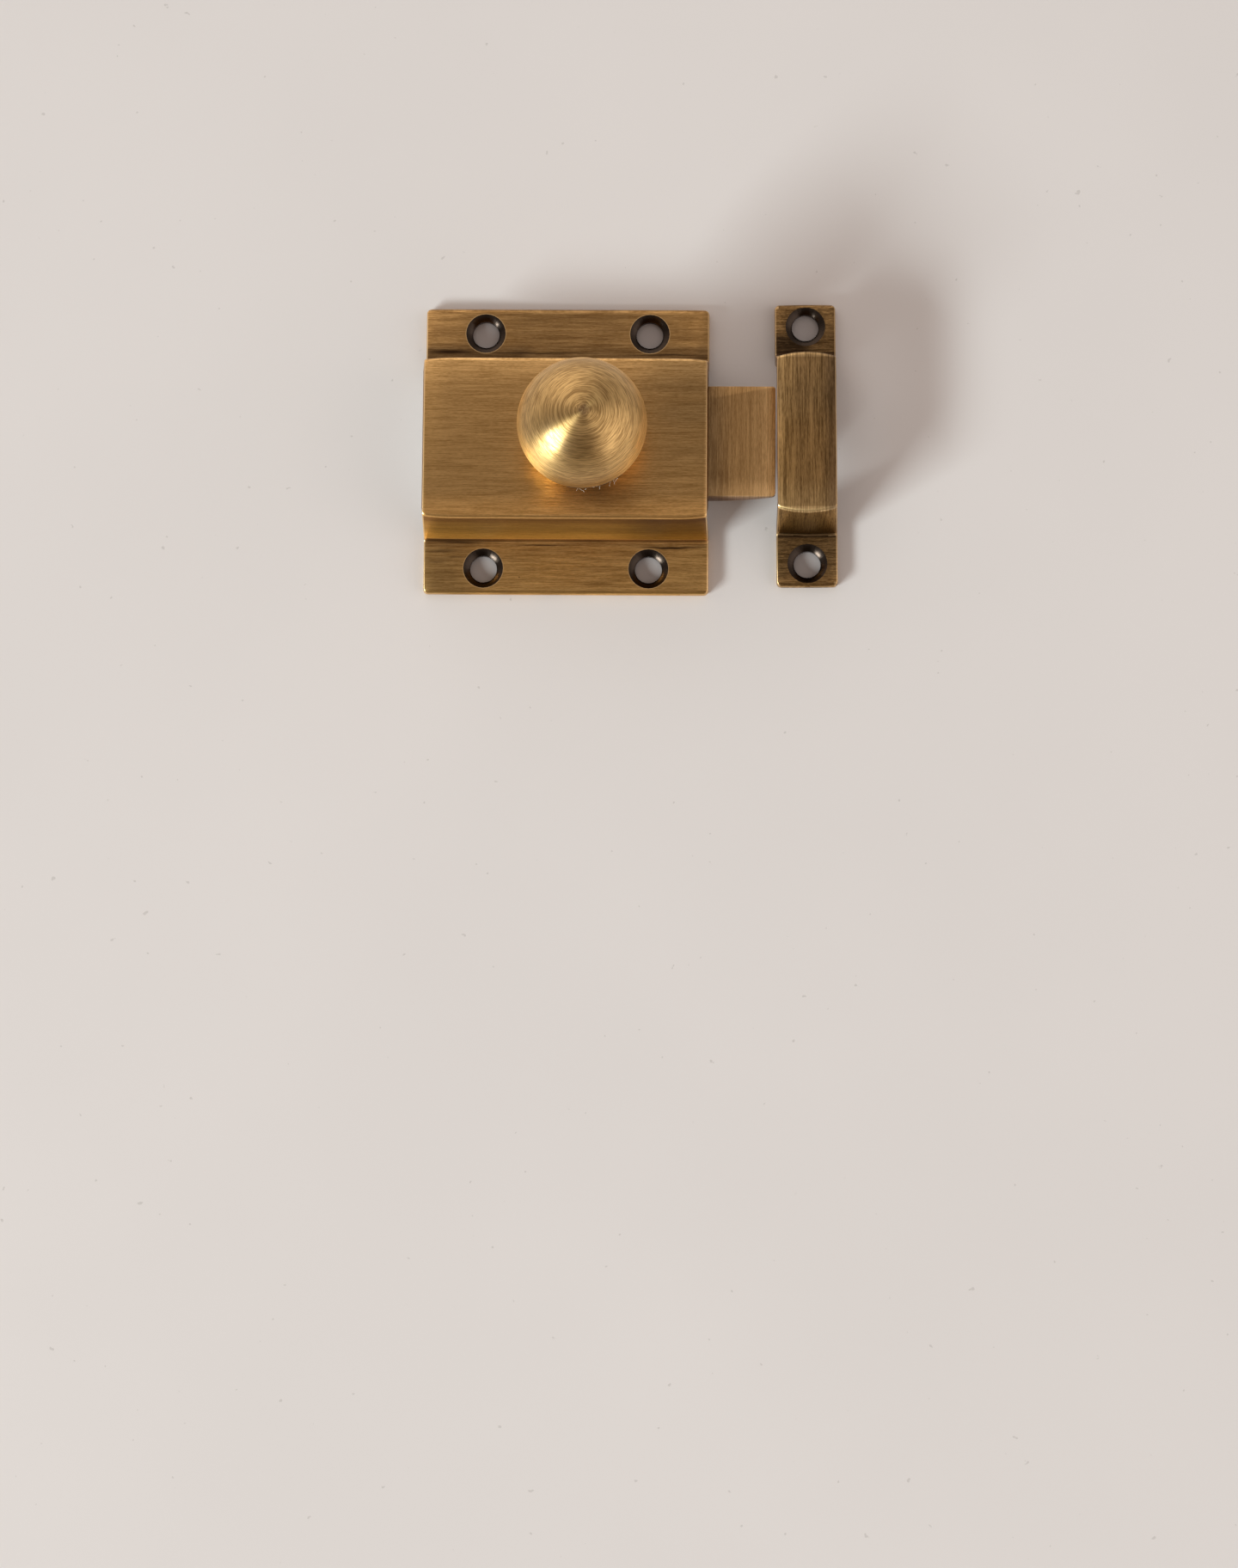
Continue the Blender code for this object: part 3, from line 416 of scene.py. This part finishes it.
def brushed_keeper():
    """Darker than the case; brushed along the bridge on top and along the flanges below."""
    shader = Shader("aged_brass_brushed")
    all_of, ramp, fall, band = shader.all_of, shader.ramp, shader.fall, shader.band
    z = shader.z
    x, y = own_place(shader, KEEPER_CENTRE, KEEPER_TURN)
    side = shader.math("ABSOLUTE", y)
    top = ramp(z, 3.0, 4.0)
    long_tone, long_relief = brushing(shader, shader.math("ADD", y, z), x, 2.0, 1.3)
    short_tone, short_relief = brushing(shader, x, y, 8.0, 0.8)
    tone = shader.mix_value(top, short_tone, long_tone)
    relief = shader.mix_value(top, short_relief, long_relief)
    base = shader.mix(tone, (0.150, 0.080, 0.026), (0.52, 0.31, 0.122))
    face, flange, wall, north, south = sheet_zones(shader, y)

    base = tinted(
        shader, base,
        (all_of(face, ramp(y, -2.0, 8.0)), (0.80, 0.84, 0.92)),
        (all_of(face, fall(y, -14.0, -7.0)), (1.30, 1.42, 1.60)),
        (all_of(face, ramp(x, 1.5, 5.0)), (0.56, 0.56, 0.64)),
        (all_of(face, fall(x, -4.9, -4.2)), (1.35, 1.4, 1.5)),
        (all_of(face, fall(x, -4.5, -1.0)), (1.18, 1.20, 1.16)),
        # Painted highlight along the bend from the face into the walls
        (all_of(band(side, 13.4, 14.5, 0.15), ramp(z, 12.2, 12.5)), (1.5, 1.6, 1.75)),
        (wall, (0.80, 0.76, 0.60)),
        (all_of(wall, fall(z, 3.2, 6.5)), (0.62, 0.58, 0.55)),
    )

    # The flanges: dirt at the foot of the walls, thickest to the north, pale scratches, and painted shade in
    # the crease
    ragged = shader.noise(shader.join(shader.times(x, 0.25), y, 4.0), 0.9, 4.0)
    dirt_north = all_of(
        flange, north,
        fall(shader.times(ragged, 4.0, side), 21.2, 25.0),
        fall(shader.times(ragged, 3.0, x), 0.6, 4.4, 0.25),
    )
    dirt_south = all_of(flange, south, fall(shader.times(ragged, 3.0, side), 24.0, 26.5))
    scratches = shader.noise(shader.join(x, shader.times(y, 3.5), 9.0), 0.8, 3.0, 0.7)
    base = tinted(
        shader, base,
        (dirt_north, (0.22, 0.22, 0.27)),
        (all_of(flange, north), (0.72, 0.72, 0.74)),
        (dirt_south, (0.60, 0.62, 0.66)),
        (all_of(flange, ramp(scratches, 0.56, 0.66)), (1.5, 1.5, 1.45)),
    )
    # Painted shade in the crease at the foot of the walls
    crease_shade = all_of(band(side, 16.3, 16.9, 0.15), fall(z, 2.0, 2.8, 0.4))
    base = shader.mix(shader.times(crease_shade, 0.8), base, (0.035, 0.018, 0.009))

    base = rub_edges(shader, base, 0.55, (0.76, 0.52, 0.27))
    finish_brushed(shader, base, tone, relief, 0.55, (0.43, 0.30), 0.55)
    return shader.material


def brushed_bolt():
    shader = Shader("bolt_brass_brushed")
    x, y, z = shader.x, shader.y, shader.z
    tone, relief = brushing(shader, y, x, 12.0, 1.2)
    base = shader.mix(tone, (0.31, 0.17, 0.062), (0.60, 0.36, 0.15))
    top = shader.ramp(z, 9.8, 10.3)
    # Darker towards the case and on the sides below the top, painted shade; the top lighter towards the tip,
    # with a painted highlight along its south edge
    base = tinted(
        shader, base,
        (shader.fall(x, 25.5, 30.5), (0.64, 0.66, 0.72)),
        (shader.all_of(top, shader.ramp(x, 31.5, 36.0)), (1.35, 1.40, 1.5)),
        (shader.all_of(top, shader.fall(y, -9.6, -6.0)), (1.40, 1.46, 1.55)),
        (shader.fall(z, 8.0, 10.2), (0.62, 0.50, 0.42)),
    )
    base = rub_edges(shader, base, 0.6, (0.85, 0.56, 0.26))
    finish_brushed(shader, base, tone, relief, 0.5, (0.40, 0.28), 0.5)
    return shader.material


def dark_sink(name, centre, turn, hole):
    """The countersinks and bores, still black from the patina bath, with faint turning marks.

    Their bump adds a curved profile to the plain cone, which catches the window.
    """
    shader = Shader(name)
    from_hole = shader.join(*(
        shader.times(shader.math("SIGN", v), past_hole(shader, v, at))
        for v, at in zip(own_place(shader, centre, turn), hole)
    ))
    marks = shader.noise(shader.join(0.0, 0.0, shader.z), 4.0, 2.0)
    cloud = shader.noise(shader.place, 0.8, 2.0)
    tone = shader.times(marks, 0.5, shader.times(cloud, 0.5))
    middle = (SINK_RADIUS + HOLE_RADIUS) / 2
    reach = shader.math("SUBTRACT", shader.vector("LENGTH", from_hole), middle)
    profile = shader.times(reach, shader.times(reach, -0.25, -0.36))
    height = shader.times(marks, 0.004, profile)
    base = shader.mix(tone, (0.028, 0.019, 0.014), (0.064, 0.048, 0.038))
    shader.set(Base_Color=base, Normal=bump(shader, height, 1.0, MM))
    sheen(shader, shader.ramp(cloud, 0.3, 0.7, 0.24, 0.28), 0.3, turned_tangent(shader, from_hole))
    return shader.material


def turned_knob(centre):
    """Satin brass whose turning marks run about the chucking axis, a little off the ball's own."""
    shader = Shader("knob_brass_turned")
    z = shader.z
    from_centre = shader.vector("SUBTRACT", shader.place, centre)
    level = shader.vector("DOT_PRODUCT", from_centre, CHUCK_AXIS)
    across = shader.vector("SUBTRACT", from_centre, shader.vector("SCALE", CHUCK_AXIS, scale=level))
    radius = shader.vector("LENGTH", across)
    inverse = shader.math("DIVIDE", 1.0, shader.math("MAXIMUM", radius, 0.3))
    turn_x, turn_y, _ = shader.split(shader.vector("SCALE", across, scale=inverse))
    drift = shader.math("SUBTRACT", shader.noise(shader.place, 0.16, 2.0), 0.5)
    ring = shader.times(drift, 1.2, radius)

    def rings(width, turns, seed, detail=1.0):
        """Noise in rings of about a width in mm, which changes so many times round the ball."""
        vector = shader.join(
            shader.times(ring, 1 / width), shader.times(level, 1 / width), shader.times(turn_x, turns, seed)
        )
        return shader.noise(vector, 1.0, detail, 0.55, shader.times(turn_y, turns))

    # Long rings near the top, shorter and finer ones further out
    inner = shader.fall(radius, 3.0, 8.5, 0.25)
    outer = shader.math("SUBTRACT", 1.25, inner)
    layers = (
        (rings(0.21, 1.1, 3.0), shader.times(inner, 0.62)),
        (rings(0.13, 4.2, 23.0), shader.times(outer, 0.50)),
        (rings(0.30, 2.4, 17.0), shader.times(outer, 0.22)),
    )
    weight = 0.14
    total = shader.times(rings(1.6, 1.4, 11.0, 2.0), weight)
    for layer, share in layers:
        total = shader.times(layer, share, total)
        weight = shader.math("ADD", weight, share)
    total = shader.math("DIVIDE", total, weight)
    tone = shader.ramp(total, 0.38, 0.62)
    base = shader.mix(tone, (0.385, 0.224, 0.073), (0.80, 0.520, 0.204))

    # Lighter round the equator, a painted reflection of the lit floor; darker and warmer low on the south
    # side, painted shade; a dark spot at the top
    equator = shader.all_of(shader.fall(z, 26.5, 31.0), shader.ramp(turn_y, -0.97, -0.72))
    underside = shader.all_of(shader.fall(z, 25.5, 30.5), shader.fall(turn_y, -0.97, -0.78))
    centre_spot = shader.all_of(shader.fall(radius, 0.4, 1.5), shader.ramp(z, 34.0, 35.5))
    base = tinted(shader, base, (equator, (1.42, 1.38, 1.28)), (underside, (0.84, 0.72, 0.52)))
    base = shader.mix(shader.times(centre_spot, 0.55), base, (0.15, 0.08, 0.045))
    shader.set(Base_Color=base, Normal=bump(shader, total, 1.0, RING_DEPTH))
    shader.set(Coat_Weight=0.3, Coat_Roughness=0.34)
    tangent = turned_tangent(shader, from_centre, CHUCK_AXIS)
    sheen(shader, shader.ramp(tone, 0.0, 1.0, 0.42, 0.35), 0.83, tangent)
    return shader.material


def plain_metal(name, dark, light, roughness, grain=0.4):
    """Plain turned or plated metal, with fine marks and slightly uneven tone."""
    shader = Shader(name)
    marks = shader.noise(shader.place, 1 / grain, 4.0, 0.6)
    cloud = shader.noise(shader.place, 0.35, 2.0)
    tone = shader.ramp(shader.times(marks, 0.5, shader.times(cloud, 0.5)), 0.35, 0.65)
    shader.set(Base_Color=shader.mix(tone, dark, light), Normal=bump(shader, marks, 0.15, 0.03 * MM))
    shader.set(Metallic=1.0, Roughness=shader.ramp(tone, 0.0, 1.0, roughness + 0.06, roughness - 0.04))
    return shader.material


def fluff(name, colour):
    shader = Shader(name)
    cloud = shader.noise(shader.place, 3.0, 2.0)
    shader.set(Base_Color=shader.mix(cloud, tuple(0.85 * c for c in colour), colour), Roughness=0.9)
    return shader.material


def floor_paint():
    """A pale board with faint clouds and specks, and painted shade under the screw holes."""
    shader = Shader("floor_board")
    cloud = shader.noise(shader.place, 0.012, 3.0)
    grain = shader.noise(shader.place, 1.6, 3.0)
    base = shader.mix(shader.ramp(cloud, 0.3, 0.7), tuple(0.975 * c for c in FLOOR_COLOUR), FLOOR_COLOUR)
    specks = shader.ramp(shader.noise(shader.place, 0.55, 2.0), 0.735, 0.76)
    base = shader.mix(shader.times(specks, 0.35), base, (0.38, 0.34, 0.31))
    in_keeper = own_place(shader, KEEPER_CENTRE, KEEPER_TURN)
    from_case_hole = hole_distance(shader, (shader.x, shader.y), (HOLE_X, HOLE_Y))
    from_keeper_hole = hole_distance(shader, in_keeper, (0.0, KEEPER_HOLE_Y))
    # Painted shade under the screw holes
    hole_shade = shader.fall(shader.math("MINIMUM", from_case_hole, from_keeper_hole), 2.6, 3.2)
    base = tinted(shader, base, (hole_shade, (0.62, 0.60, 0.60)))
    shader.set(Base_Color=base, Roughness=0.75, Normal=bump(shader, grain, 0.05, 0.1 * MM))
    return shader.material


def piece_from(name, shape):
    mesh = bpy.data.meshes.new(name)
    shape.to_mesh(mesh)
    shape.free()
    made = bpy.data.objects.new(name, mesh)
    bpy.context.scene.collection.objects.link(made)
    return made


def smooth(mesh):
    mesh.shade_smooth()
    mesh.set_sharp_from_angle(angle=SMOOTH_ANGLE)


def lay_grain(mesh, grain_at):
    """A UV map whose U runs with the brushing, for the direction of the shine."""
    layer = mesh.uv_layers.new(name="grain")
    for face in mesh.polygons:
        along = Vector(grain_at(face.center))
        if abs(face.normal.dot(along)) > 0.9:
            along = Vector((along.y, along.x, along.z))
        across = face.normal.cross(along)
        for loop in face.loop_indices:
            place = mesh.vertices[mesh.loops[loop].vertex_index].co
            layer.data[loop].uv = (place.dot(along) / MM, place.dot(across) / MM)


def mark_rubbed(mesh):
    """Marks the narrow faces that round the outer edges, where handling has rubbed the metal bright."""
    layer = mesh.attributes.new("rub", "FLOAT", "FACE")
    for face, value in zip(mesh.polygons, layer.data):
        points = [mesh.vertices[i].co for i in face.vertices]
        longest = max((a - b).length for a in points for b in points)
        narrow = 2 * face.area / longest < RUBBED_WIDTH
        tilted = max(abs(part) for part in face.normal) < 0.985
        in_foot = FOOT_BAND[0] < abs(face.center.y) < FOOT_BAND[1] and abs(face.normal.x) < 0.1
        value.value = 1.0 if tilted and narrow and not in_foot else 0.0


def refined(node):
    """A welded copy of a CAD node, whose flat and round faces are shaded as such."""
    shape = bmesh.new()
    shape.from_mesh(frame["nodes"][node].data)
    bmesh.ops.remove_doubles(shape, verts=shape.verts, dist=WELD)
    bmesh.ops.dissolve_limit(
        shape, angle_limit=FLAT_ANGLE, verts=shape.verts, edges=shape.edges, delimit={"NORMAL"}
    )
    made = piece_from(node + "_fine", shape)
    attributes = made.data.attributes
    if "custom_normal" in attributes:
        attributes.remove(attributes["custom_normal"])
    smooth(made.data)
    return made


def darken_holes(mesh, centres, material):
    """Gives the faces inside the screw holes a material of their own."""
    mesh.materials.append(material)
    reach = (SINK_RADIUS + 0.02) * MM
    for face in mesh.polygons:
        inside = any((face.center.xy - centre).length < reach for centre in centres)
        if inside and abs(face.normal.z) < 0.99:
            face.material_index = 1


def dress(piece, body, material, node):
    piece.data.materials.clear()
    piece.data.materials.append(material)
    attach(piece, body)
    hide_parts(node)


def brushed_piece(node, body, material, grain_at):
    piece = refined(node)
    lay_grain(piece.data, grain_at)
    mark_rubbed(piece.data)
    dress(piece, body, material, node)
    return piece


def make_knob():
    """The ball, turned from its outline, with the flat it stands on and the bore for the spindle."""
    centre, seat = knob_high.z - knob_radius, knob_low.z
    bore_top = seat + KNOB_BORE_DEPTH
    seat_radius = math.sqrt(knob_radius**2 - (centre - seat) ** 2)
    start = math.asin((seat - centre) / knob_radius)
    profile = [(0.0, bore_top), (KNOB_BORE_RADIUS, bore_top), (KNOB_BORE_RADIUS, seat), (seat_radius, seat)]
    for step in range(1, KNOB_RINGS + 1):
        angle = start + (math.pi / 2 - start) * step / KNOB_RINGS
        radius = knob_radius * math.cos(angle) if step < KNOB_RINGS else 0.0
        profile.append((radius, centre + knob_radius * math.sin(angle)))
    shape = bmesh.new()
    verts = [shape.verts.new((r, 0, z)) for r, z in profile]
    edges = [shape.edges.new(pair) for pair in zip(verts, verts[1:])]
    bmesh.ops.spin(
        shape, geom=verts + edges, cent=(0, 0, 0), axis=(0, 0, 1), angle=2 * math.pi, steps=KNOB_STEPS,
        use_merge=True,
    )
    bmesh.ops.remove_doubles(shape, verts=shape.verts, dist=WELD)
    bmesh.ops.recalc_face_normals(shape, faces=shape.faces)
    bmesh.ops.translate(shape, verts=shape.verts, vec=Vector(((knob_low.x + knob_high.x) / 2, 0, 0)))
    made = piece_from("knob_fine", shape)
    smooth(made.data)
    return made


def fibre(shape, points, thickness, index):
    """A thread along a run of points, three-sided, with a material index."""
    rings = []
    for place, ahead in zip(points, points[1:] + [2 * points[-1] - points[-2]]):
        along = (ahead - place).normalized()
        out = along.orthogonal().normalized()
        arms = [Matrix.Rotation(turn * math.tau / 3, 3, along) @ out * thickness for turn in range(3)]
        rings.append([shape.verts.new(place + arm) for arm in arms])
    for first, second in zip(rings, rings[1:]):
        for turn in range(3):
            ahead = (turn + 1) % 3
            corners = (first[turn], first[ahead], second[ahead], second[turn])
            shape.faces.new(corners).material_index = index
    shape.faces.new(rings[0][::-1]).material_index = index
    shape.faces.new(rings[-1]).material_index = index


def make_lint_and_shade_thread():
    """Some pale fibres caught on the underside of the ball, and a dark thread along it that is painted shade
    under the rim.
    """
    rng = random.Random(LINT_SEED)
    centre = Vector(BALL_CENTRE) * MM
    reach = knob_radius + LINT_GAP
    shape = bmesh.new()
    # A dark thread along the bottom of the rim, painted shade
    shade_thread = []
    for step in range(THREAD_STEPS + 1):
        turn = THREAD_START + THREAD_SWEEP * step / THREAD_STEPS
        rise = THREAD_HEIGHT + 1.2 * math.sin(0.11 * turn) + rng.uniform(-0.3, 0.3)
        shade_thread.append(centre + heading(turn, rise) * reach)
    fibre(shape, shade_thread, THREAD_THICKNESS, SHADE_THREAD)
    for _ in range(FIBRES):
        turn = rng.uniform(-96, -56)
        points = [centre + heading(turn, rng.uniform(-13, -8)) * reach]
        along = heading(turn + rng.choice((-1, 1)) * rng.uniform(40, 85), rng.uniform(-15, 35))
        length = rng.uniform(0.5, 1.5) * MM
        for _ in range(FIBRE_STEPS):
            bend = Vector([rng.uniform(-0.65, 0.65) for _ in range(3)])
            along = (along + bend).normalized()
            points.append(points[-1] + along * length / FIBRE_STEPS)
        fibre(shape, points, rng.uniform(0.022, 0.032) * MM, PALE_LINT)
    return piece_from("lint", shape)


# Camera, floor and light
camera = bpy.data.objects.new("camera", bpy.data.cameras.new("camera"))
camera.data.sensor_width = SENSOR
camera.data.lens = FOCAL_PX / IMAGE_HEIGHT_PX * SENSOR
camera.data.clip_start = 0.01
camera.matrix_world = Matrix.Translation(CAMERA_PLACE) @ Euler(CAMERA_TURN, "XYZ").to_matrix().to_4x4()
bpy.context.scene.collection.objects.link(camera)
bpy.context.scene.camera = camera
bpy.context.scene.view_settings.view_transform = "Standard"

shape = bmesh.new()
bmesh.ops.create_grid(shape, x_segments=1, y_segments=1, size=FLOOR_SIZE / 2)
floor = piece_from("floor", shape)
floor.location.z = -FLOOR_DROP
floor.data.materials.append(floor_paint())

window = bpy.data.objects.new("window_light", bpy.data.lights.new("window_light", "AREA"))
window.data.shape = "RECTANGLE"
window.data.size, window.data.size_y = WINDOW_SIZE
window.data.energy = WINDOW_RADIANCE * WINDOW_SIZE[0] * WINDOW_SIZE[1] * math.pi
window.data.color = WINDOW_COLOUR
towards = heading(WINDOW_HEADING, WINDOW_HEIGHT)
window.location = towards * WINDOW_DISTANCE
window.rotation_euler = towards.to_track_quat("Z", "Y").to_euler()
bpy.context.scene.collection.objects.link(window)

world = bpy.data.worlds.new("soft_room")
bpy.context.scene.world = world
world.use_nodes = True
tree = world.node_tree
direction = tree.nodes.new("ShaderNodeTexCoord").outputs["Generated"]
room = tree.nodes.new("ShaderNodeRGB").outputs[0]
room.default_value = (*ROOM_COLOUR, 1)
for blend, turn, height, edge, colour in ROOM_SECTORS:
    facing = tree.nodes.new("ShaderNodeVectorMath")
    facing.operation = "DOT_PRODUCT"
    tree.links.new(direction, facing.inputs[0])
    facing.inputs[1].default_value = heading(turn, height)
    sector = tree.nodes.new("ShaderNodeMapRange")
    sector.interpolation_type = "SMOOTHSTEP"
    tree.links.new(facing.outputs["Value"], sector.inputs[0])
    sector.inputs[1].default_value = edge
    changed = tree.nodes.new("ShaderNodeMix")
    changed.data_type = "RGBA"
    changed.blend_type = blend
    tree.links.new(sector.outputs[0], changed.inputs[0])
    tree.links.new(room, changed.inputs[6])
    changed.inputs[7].default_value = (*colour, 1)
    room = changed.outputs[2]
tree.links.new(room, tree.nodes["Background"].inputs["Color"])

# The pieces that show, each with its own finish
case = brushed_piece("case", "housing", brushed_case(), lambda place: (1, 0, 0))
case_holes = [Vector((x, y)) * MM for x in (-HOLE_X, HOLE_X) for y in (-HOLE_Y, HOLE_Y)]
darken_holes(case.data, case_holes, dark_sink("dark_case_sink", (0, 0, 0), 0.0, (HOLE_X, HOLE_Y)))

keeper = brushed_piece(
    "keeper", "housing", brushed_keeper(),
    lambda place: (0, 1, 0) if place.z > 3.5 * MM else (1, 0, 0),
)
keeper_holes = []
for side in (-1, 1):
    away = Vector((0, side * KEEPER_HOLE_Y))
    away.rotate(Matrix.Rotation(KEEPER_TURN, 2))
    keeper_holes.append((Vector(KEEPER_CENTRE).xy + away) * MM)
keeper_sink = dark_sink("dark_keeper_sink", KEEPER_CENTRE, KEEPER_TURN, (0.0, KEEPER_HOLE_Y))
darken_holes(keeper.data, keeper_holes, keeper_sink)

brushed_piece("bolt", "bolt_slide", brushed_bolt(), lambda place: (0, 1, 0))
dress(make_knob(), "knob_assembly", turned_knob(BALL_CENTRE), "knob")

lint = make_lint_and_shade_thread()
lint.data.materials.append(fluff("pale_lint", (0.82, 0.75, 0.63)))
# The dark thread's material: painted shade under the rim of the ball
lint.data.materials.append(fluff("dark_shade_thread", (0.05, 0.028, 0.014)))
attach(lint, "knob_assembly")

# The washer and the pieces inside, by their material slots
plain = {
    "plain_brass": plain_metal("plain_brass_turned", (0.52, 0.34, 0.12), (0.68, 0.47, 0.2), 0.3),
    "antique_brass": plain_metal("washer_brass", (0.30, 0.17, 0.06), (0.48, 0.29, 0.11), 0.36),
    "bright_steel": plain_metal("bright_steel_turned", (0.5, 0.49, 0.47), (0.66, 0.65, 0.63), 0.3),
    "zinc_steel": plain_metal("zinc_steel_plate", (0.42, 0.42, 0.41), (0.56, 0.55, 0.53), 0.42, 0.9),
    "spring_steel": plain_metal("spring_steel_wire", (0.26, 0.26, 0.27), (0.4, 0.4, 0.41), 0.32),
}
behaviour = frame["record"]["behaviour"]
slots = {part["node"]: part["material_slot"] for part in frame["record"]["subparts"]}
body_of = {node: body for body, members in behaviour["bodies"].items() for node in members}
for node in sorted(frame["nodes"]):
    if node not in ("case", "keeper", "bolt", "knob"):
        dress(refined(node), body_of[node], plain[slots[node]], node)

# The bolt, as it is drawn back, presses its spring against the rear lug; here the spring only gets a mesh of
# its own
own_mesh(bpy.data.objects["bolt_spring_fine"])
